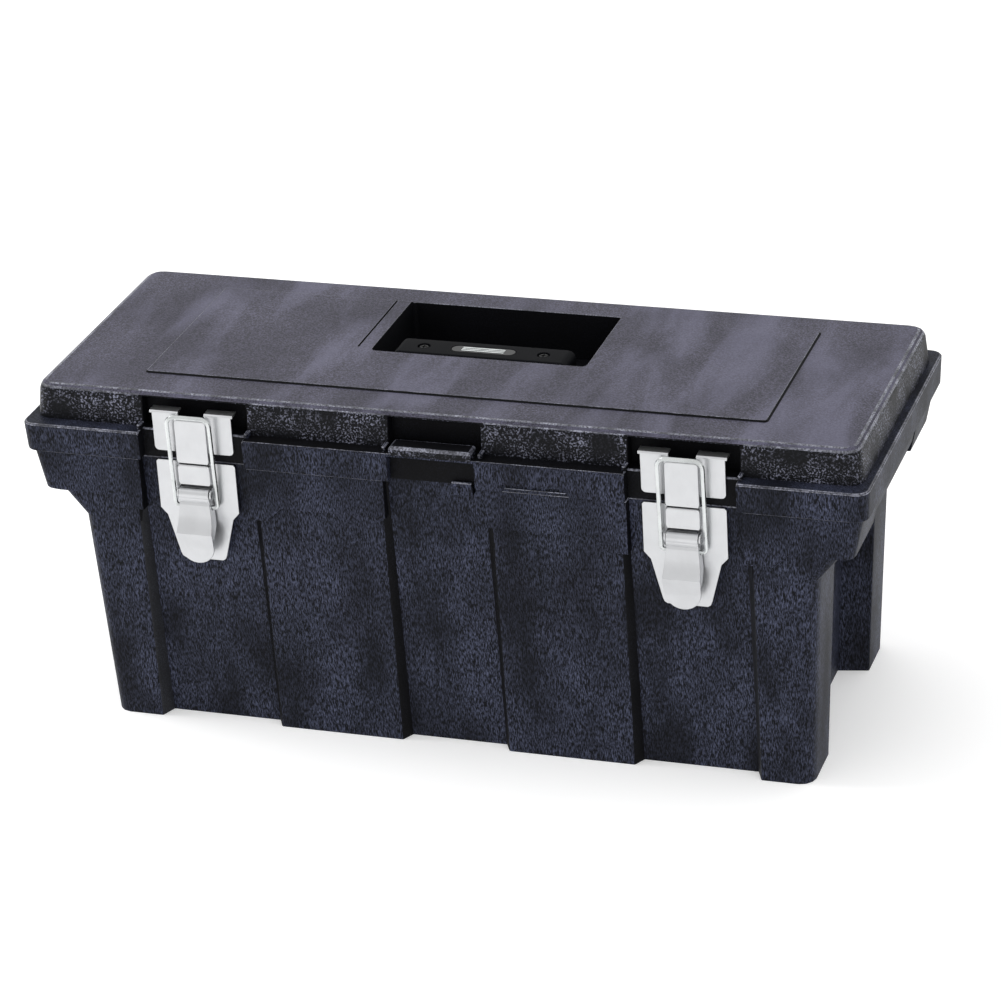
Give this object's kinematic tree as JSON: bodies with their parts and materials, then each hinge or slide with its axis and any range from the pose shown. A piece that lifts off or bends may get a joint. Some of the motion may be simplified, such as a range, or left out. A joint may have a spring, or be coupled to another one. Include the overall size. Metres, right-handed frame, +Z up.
{
  "type": "toolbox with tray",
  "caption": "Moulded plastic toolbox with a hinged lid, recessed carrying grip, over-centre wire draw latches, a lift-out divided tray and a hand-hold under each end of the rim.",
  "frame": {"origin": "middle of the flat underside, on the plane the box stands on", "axes": "+X along the box to its right-hand end as seen from the latches, +Y from the latches to the hinge, +Z up"},
  "size_m": [0.66, 0.278, 0.2802],
  "materials": {
    "structural_foam": "moulded structural foam, near black, finely grained",
    "grip_plastic": "smooth black moulded grip",
    "tray_plastic": "dark grey moulded tray",
    "divider_plastic": "grey moulded divider",
    "latch_steel": "bright nickel-plated pressed steel",
    "bail_wire": "bright nickel-plated wire",
    "pin_steel": "zinc-plated steel",
    "screw_steel": "blackened steel",
    "badge_metal": "plain satin aluminium plate"
  },
  "bodies": {
    "base": {"base_shell": "structural_foam", "hinge_pin": "pin_steel", "left_base_plate": "latch_steel", "left_pivot_pin": "pin_steel", "left_base_rivet_lower": "pin_steel", "left_base_rivet_upper": "pin_steel", "right_base_plate": "latch_steel", "right_pivot_pin": "pin_steel", "right_base_rivet_lower": "pin_steel", "right_base_rivet_upper": "pin_steel"},
    "lid": {"lid_shell": "structural_foam", "handle_grip": "grip_plastic", "handle_screw_left": "screw_steel", "handle_screw_right": "screw_steel", "handle_badge": "badge_metal", "left_strike_plate": "latch_steel", "left_strike_rivet_outer": "pin_steel", "left_strike_rivet_inner": "pin_steel", "right_strike_plate": "latch_steel", "right_strike_rivet_outer": "pin_steel", "right_strike_rivet_inner": "pin_steel"},
    "left_lever": {"left_lever": "latch_steel"},
    "left_bail": {"left_bail": "bail_wire"},
    "right_lever": {"right_lever": "latch_steel"},
    "right_bail": {"right_bail": "bail_wire"},
    "tray": {"tray": "tray_plastic", "tray_divider_left": "divider_plastic", "tray_divider_right": "divider_plastic"}
  },
  "joints": [
    {"name": "lid_hinge", "type": "hinge", "parent": "base", "child": "lid", "pos_m": [0, 0.134, 0.228], "axis": [-1, 0, 0], "range_deg": [0, 105]},
    {"name": "left_lever_hinge", "type": "hinge", "parent": "base", "child": "left_lever", "pos_m": [-0.1915, -0.1289, 0.203], "axis": [-1, 0, 0], "range_deg": [0, 140]},
    {"name": "left_bail_hinge", "type": "hinge", "parent": "left_lever", "child": "left_bail", "pos_m": [-0.1915, -0.1276, 0.192], "axis": [-1, 0, 0], "range_deg": [-161, 0]},
    {"name": "right_lever_hinge", "type": "hinge", "parent": "base", "child": "right_lever", "pos_m": [0.1915, -0.1289, 0.203], "axis": [-1, 0, 0], "range_deg": [0, 140]},
    {"name": "right_bail_hinge", "type": "hinge", "parent": "right_lever", "child": "right_bail", "pos_m": [0.1915, -0.1276, 0.192], "axis": [-1, 0, 0], "range_deg": [-161, 0]},
    {"name": "tray_lift", "type": "slide", "parent": "base", "child": "tray", "axis": [0, 0, 1], "range_m": [0, 0.02]}
  ],
  "couplings": [
    {"joint": "left_bail_hinge", "follows": "left_lever_hinge", "ratio": -1.15},
    {"joint": "right_bail_hinge", "follows": "right_lever_hinge", "ratio": -1.15}
  ]
}
